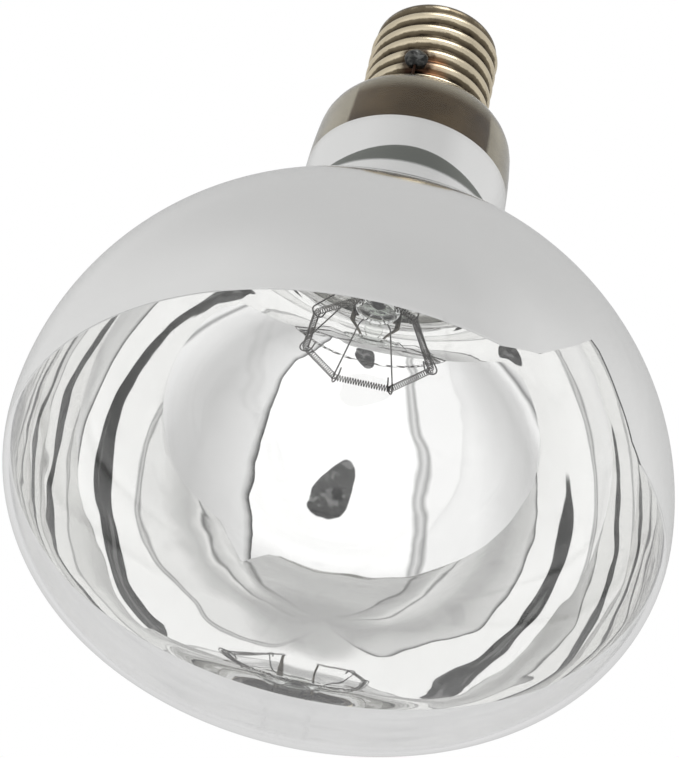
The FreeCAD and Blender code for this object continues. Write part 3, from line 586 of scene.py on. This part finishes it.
pale = add_node(tree, "ValToRGB", {0: cloud.outputs["Fac"]})
set_ramp(pale, ((0.3, "#8E8775"), (0.7, "#AFA895")))
# The painted reflection's dark brown tones.
darkening = add_node(tree, "ValToRGB", {0: cloud.outputs["Fac"]})
set_ramp(darkening, ((0.3, "#38290F"), (0.7, "#5F4E33")))
tone = add_node(tree, "Mix", {"Factor": painted_reflection.outputs[0], "A": pale.outputs[0], "B": darkening.outputs[0]},
                data_type="RGBA")
# The painted highlight: a pale band from LIP up to the film's top.
lip_highlight = add_node(tree, "MapRange", {"Value": split.outputs["Z"], "From Min": LIP - LIP_FADE,
                                  "From Max": LIP + LIP_FADE})
tone = add_node(tree, "Mix", {"Factor": lip_highlight.outputs[0], "A": tone.outputs["Result"],
                              "B": linear("#DEDBD2")}, data_type="RGBA")
tree.links.new(tone.outputs["Result"], shader.inputs["Base Color"])
# Its inside keeps the bright film's finish.
browned.data.materials.append(heated_aluminium)
browned.data.materials.append(evaporated_aluminium)
for face in browned.data.polygons:
    if len(brown_outside) * BULB_COLUMNS <= min(face.vertices):
        face.material_index = 1


# Stem: flare, press, exhaust tube and button of clear lead glass, worked in a flame and sealed to the bulb.
# Its skin is glossy, with the faint marks of drawing.
DRAW_MARKS = 1.8 * MM
DRAW_MARK_DEPTH = 0.05 * MM


def finish(node, material):
    """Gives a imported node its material."""
    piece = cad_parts[node]
    piece.data.materials.clear()
    piece.data.materials.append(material)


lead_glass, tree, shader = start_material("flame_worked_lead_glass", roughness=0.02)
shader.inputs["Base Color"].default_value = linear("#F6F8F6")
shader.inputs["IOR"].default_value = 1.56
shader.inputs["Transmission Weight"].default_value = 1.0
place = add_node(tree, "TexCoord").outputs["Object"]
draw_marks = add_node(tree, "TexNoise", {"Vector": place, "Scale": 1 / DRAW_MARKS, "Detail": 2.0})
bump = add_node(tree, "Bump", {"Height": draw_marks.outputs["Fac"], "Strength": 0.25,
                               "Distance": DRAW_MARK_DEPTH})
tree.links.new(bump.outputs[0], shader.inputs["Normal"])
for node in ("stem_flare", "stem_press", "exhaust_tube", "arbor"):
    finish(node, lead_glass)

# Wires: molybdenum supports melted into the button, nickel leads inside and copper leads outside.
# All are drawn through dies, which leaves a dull shine with darker stains. Soldering burnt the copper dark.
WIRE_STAINS = 2.5 * MM
SUPPORT_WIRES = ["support_wire_%d" % number for number in range(1, 7)]
WIRE_METALS = (
    ("drawn_molybdenum", "#3B3A38", "#6A6865", 0.38, SUPPORT_WIRES),
    ("drawn_nickel", "#4A463F", "#7F796E", 0.35, ["inner_lead_1", "inner_lead_2"]),
    ("burnt_copper", "#1D1613", "#3F2B20", 0.5, ["centre_lead", "side_lead"]),
)
for name, dark_tone, pale_tone, roughness, nodes in WIRE_METALS:
    wire_metal, tree, shader = start_material(name, metallic=1.0, roughness=roughness)
    place = add_node(tree, "TexCoord").outputs["Object"]
    stains = add_node(tree, "TexNoise", {"Vector": place, "Scale": 1 / WIRE_STAINS, "Detail": 3.0})
    tone = add_node(tree, "ValToRGB", {0: stains.outputs["Fac"]})
    set_ramp(tone, ((0.35, dark_tone), (0.65, pale_tone)))
    tree.links.new(tone.outputs[0], shader.inputs["Base Color"])
    for node in nodes:
        finish(node, wire_metal)

# Filament: tungsten wire wound into a long coil, strung from hook to hook and clamped in the two leads.
# The coil's turns stand apart, so light shows through it. They are drawn coarser than real ones, to show.
RING_PLANE = RIM_HEIGHT + 37.5 * MM
RING_RADIUS = 13 * MM
# The ring is open at the front. Its ends lie RING_MOUTH before the axis and reach COIL_END past the leads.
RING_MOUTH = 12.4 * MM
LEAD_SPREAD = 3.6 * MM
COIL_END = 0.7 * MM
CORNER_ANGLES = (-57, 14, 64, 114, 159, 210)
COIL_RADIUS = 0.7 * MM
WIRE_RADIUS = 0.095 * MM
COIL_PITCH = 0.52 * MM
TURN_STEPS = 14
WIRE_SIDES = 6
stations = [Vector((LEAD_SPREAD - COIL_END, -RING_MOUTH, RING_PLANE)),
            Vector((LEAD_SPREAD + COIL_END, -RING_MOUTH, RING_PLANE))]
stations += [round_axis(RING_RADIUS, RING_PLANE, math.radians(angle)) for angle in CORNER_ANGLES]
stations += [Vector((-LEAD_SPREAD - COIL_END, -RING_MOUTH, RING_PLANE)),
             Vector((-LEAD_SPREAD + COIL_END, -RING_MOUTH, RING_PLANE))]


def tube(name, line, radius, sides):
    """A round wire along a line of points, closed at both ends."""
    corners, faces = [], []
    across = Vector((0, 0, 1))
    for place, point in enumerate(line):
        ahead = (line[min(place + 1, len(line) - 1)] - line[max(place - 1, 0)]).normalized()
        across = (across - ahead * across.dot(ahead)).normalized()
        other = ahead.cross(across)
        for side in range(sides):
            angle = 2 * math.pi * side / sides
            corners.append(point + (across * math.cos(angle) + other * math.sin(angle)) * radius)
    for place in range(len(line) - 1):
        low, high = place * sides, (place + 1) * sides
        for side in range(sides):
            after = (side + 1) % sides
            faces.append([low + side, low + after, high + after, high + side])
    faces.append(list(range(sides))[::-1])
    faces.append([(len(line) - 1) * sides + side for side in range(sides)])
    mesh = bpy.data.meshes.new(name)
    mesh.from_pydata(corners, [], faces)
    mesh.shade_smooth()
    piece = bpy.data.objects.new(name, mesh)
    bpy.context.scene.collection.objects.link(piece)
    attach(piece, "root")
    return piece


runs = [(begin, end, (end - begin).length) for begin, end in zip(stations, stations[1:])]
run_ends = [sum(length for begin, end, length in runs[:number + 1]) for number in range(len(runs))]
count = round(run_ends[-1] / COIL_PITCH) * TURN_STEPS
winding = []
for number in range(count + 1):
    distance = run_ends[-1] * number / count
    run = min(bisect.bisect_left(run_ends, distance), len(runs) - 1)
    begin, end, length = runs[run]
    ahead = (end - begin) / length
    outward = ahead.cross(Vector((0, 0, 1)))
    angle = 2 * math.pi * number / TURN_STEPS
    offset = outward * math.cos(angle) + Vector((0, 0, 1)) * math.sin(angle)
    middle = end - ahead * (run_ends[run] - distance)
    winding.append(middle + offset * (COIL_RADIUS - WIRE_RADIUS))
filament = tube("coiled_filament", winding, WIRE_RADIUS, WIRE_SIDES)
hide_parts("filament")

# Drawn tungsten is dark grey, and used wire has browned stretches and worn bright ones.
USED_STRETCHES = 8 * MM
tungsten, tree, shader = start_material("drawn_tungsten", metallic=1.0, roughness=0.42)
place = add_node(tree, "TexCoord").outputs["Object"]
stretches = add_node(tree, "TexNoise", {"Vector": place, "Scale": 1 / USED_STRETCHES, "Detail": 2.0})
tone = add_node(tree, "ValToRGB", {0: stretches.outputs["Fac"]})
set_ramp(tone, ((0.35, "#352D28"), (0.5, "#4A4744"), (0.65, "#77746F")))
tree.links.new(tone.outputs[0], shader.inputs["Base Color"])
filament.data.materials.append(tungsten)

# Screw cap: a shell of brass sheet, rolled into a round thread and nickel plated.
# Use has dulled the plating to a warm grey. The grooves are darkened with painted shade, and the crests are
# brightened with a painted highlight.
CREST_RADIUS = 13.1 * MM
GROOVE_RADIUS = 12.05 * MM
MOTTLE_SIZE = 3 * MM
MOTTLE_DEPTH = 0.08 * MM
worn_nickel, tree, shader = start_material("worn_nickel_plated_brass", metallic=1.0)
place = add_node(tree, "TexCoord").outputs["Object"]
split = add_node(tree, "SeparateXYZ", {0: place})
flat = add_node(tree, "CombineXYZ", {0: split.outputs["X"], 1: split.outputs["Y"]})
radius = add_node(tree, "VectorMath", {0: flat.outputs[0]}, operation="LENGTH")
crest = add_node(tree, "MapRange", {"Value": radius.outputs["Value"], "From Min": GROOVE_RADIUS,
                                    "From Max": CREST_RADIUS})
mottle = add_node(tree, "TexNoise", {"Vector": place, "Scale": 1 / MOTTLE_SIZE, "Detail": 5.0,
                                     "Roughness": 0.65})
# The tone paints shade into the grooves and a highlight onto the crests, and the mottle varies it at
# random.
shade_and_mottle_on_thread = add_node(tree, "Math", {0: mottle.outputs["Fac"], 1: 0.7, 2: crest.outputs[0]},
                            operation="MULTIPLY_ADD")
tone = add_node(tree, "ValToRGB", {0: shade_and_mottle_on_thread.outputs[0]})
set_ramp(tone, ((0.25, "#1E1812"), (0.42, "#51483A"), (0.85, "#746A58"), (1.0, "#D2C6AD")))
# Round the side solder the flux has burnt the plating dark, with a copper-coloured heat tint to its right.
# Both fade between two distances, and the mottle makes the burn's edge uneven.
BURN_FULL = 4.9 * MM
BURN_END = 6.2 * MM
BURN_UNEVEN = 3.5 * MM
BURN_SHARE = 0.9
TINT_OFFSET = Vector((3.2, 0, -0.4)) * MM
TINT_FULL = 1.5 * MM
TINT_END = 4.5 * MM
TINT_SHARE = 0.4
solder_low, solder_high = (Vector(corner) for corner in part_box("side_solder"))
solder_middle = (solder_low + solder_high) / 2
away = add_node(tree, "VectorMath", {0: place, 1: solder_middle}, operation="DISTANCE")
away = add_node(tree, "Math", {0: mottle.outputs["Fac"], 1: BURN_UNEVEN, 2: away.outputs["Value"]},
                operation="MULTIPLY_ADD")
burn = add_node(tree, "MapRange", {"Value": away.outputs[0], "From Min": BURN_FULL, "From Max": BURN_END,
                                   "To Min": BURN_SHARE, "To Max": 0.0})
beyond = add_node(tree, "VectorMath", {0: place, 1: solder_middle + TINT_OFFSET}, operation="DISTANCE")
tint = add_node(tree, "MapRange", {"Value": beyond.outputs["Value"], "From Min": TINT_FULL,
                                   "From Max": TINT_END, "To Min": TINT_SHARE, "To Max": 0.0})
tone = add_node(tree, "Mix", {"Factor": tint.outputs[0], "A": tone.outputs[0], "B": linear("#A36B44")},
                data_type="RGBA")
tone = add_node(tree, "Mix", {"Factor": burn.outputs[0], "A": tone.outputs["Result"],
                              "B": linear("#2A1A14")}, data_type="RGBA")
tree.links.new(tone.outputs["Result"], shader.inputs["Base Color"])
rough = add_node(tree, "MapRange", {"Value": mottle.outputs["Fac"], "From Min": 0.3, "From Max": 0.7,
                                    "To Min": 0.22, "To Max": 0.42})
tree.links.new(rough.outputs[0], shader.inputs["Roughness"])
bump = add_node(tree, "Bump", {"Height": mottle.outputs["Fac"], "Strength": 0.3, "Distance": MOTTLE_DEPTH})
tree.links.new(bump.outputs[0], shader.inputs["Normal"])
finish("screw_shell", worn_nickel)
cap_pieces.objects.link(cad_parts["screw_shell"])

# Cap filling: a ring of baked cement under the shell, a moulded black glass insulator, and the contact.
# The contact is a tinned brass plate, and a drop of solder on it holds the lead's end.
# The cement is dull and grainy, the glass black and glossy, and the tin and the solder are a soft grey.
GRAIN_DEPTH = 0.06 * MM
# Each has its dark and pale tone, metallic, roughness, the size of its grain in millimetres, and its node.
CAP_FILLING = (
    ("baked_basing_cement", "#4A3C31", "#7A6654", 0.0, 0.9, 1.2, "cap_cement"),
    ("moulded_black_glass", "#050507", "#0E0E12", 0.0, 0.12, 3.0, "cap_insulator"),
    ("tinned_brass", "#8E8674", "#B9B1A0", 1.0, 0.36, 1.5, "contact_plate"),
    ("soft_solder", "#85857F", "#B3B3B0", 1.0, 0.32, 1.0, "contact_solder"),
)
for name, dark_tone, pale_tone, metallic, roughness, grain, node in CAP_FILLING:
    filling, tree, shader = start_material(name, metallic, roughness)
    place = add_node(tree, "TexCoord").outputs["Object"]
    grains = add_node(tree, "TexNoise", {"Vector": place, "Scale": 1 / (grain * MM), "Detail": 4.0})
    tone = add_node(tree, "ValToRGB", {0: grains.outputs["Fac"]})
    set_ramp(tone, ((0.3, dark_tone), (0.7, pale_tone)))
    tree.links.new(tone.outputs[0], shader.inputs["Base Color"])
    bump = add_node(tree, "Bump", {"Height": grains.outputs["Fac"], "Strength": 0.3,
                                   "Distance": GRAIN_DEPTH})
    tree.links.new(bump.outputs[0], shader.inputs["Normal"])
    finish(node, filling)

# Side solder: a lump of solder that ties the copper lead to the shell, blackened by flux.
# It froze as it ran, so it is lopsided, and its dark crust still glints where light strikes it.
LUMP_SPREAD = 1.2
LUMP_SWELL = 0.22
LUMP_CRUST = 0.04
half = (solder_high - solder_low) / 2
half.x *= LUMP_SPREAD
half.z *= LUMP_SPREAD
lump = bmesh.new()
bmesh.ops.create_icosphere(lump, subdivisions=5, radius=1)
for corner in lump.verts:
    swell = LUMP_SWELL * noise.noise(corner.co * 1.3 + Vector((4, 1, 2)))
    bulge = 0.96 + swell + LUMP_CRUST * noise.noise(corner.co * 5)
    shares = corner.co * min(bulge, 1)
    corner.co = solder_middle + Vector([side * share for side, share in zip(half, shares)])
mesh = bpy.data.meshes.new("side_solder_lump")
lump.to_mesh(mesh)
lump.free()
mesh.shade_smooth()
solder_lump = bpy.data.objects.new("side_solder_lump", mesh)
bpy.context.scene.collection.objects.link(solder_lump)
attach(solder_lump, "root")
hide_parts("side_solder")
cap_pieces.objects.link(solder_lump)
# Solder under burnt flux is nearly black and still shines like metal.
CRUST_GRAIN = 1.1 * MM
burnt_solder, tree, shader = start_material("flux_burnt_solder", metallic=0.7, roughness=0.3)
place = add_node(tree, "TexCoord").outputs["Object"]
crust = add_node(tree, "TexNoise", {"Vector": place, "Scale": 1 / CRUST_GRAIN, "Detail": 4.0})
tone = add_node(tree, "ValToRGB", {0: crust.outputs["Fac"]})
set_ramp(tone, ((0.35, "#100E0D"), (0.5, "#1F201F"), (0.68, "#4B4B49")))
tree.links.new(tone.outputs[0], shader.inputs["Base Color"])
mesh.materials.append(burnt_solder)

bpy.context.scene.view_settings.view_transform = "Standard"
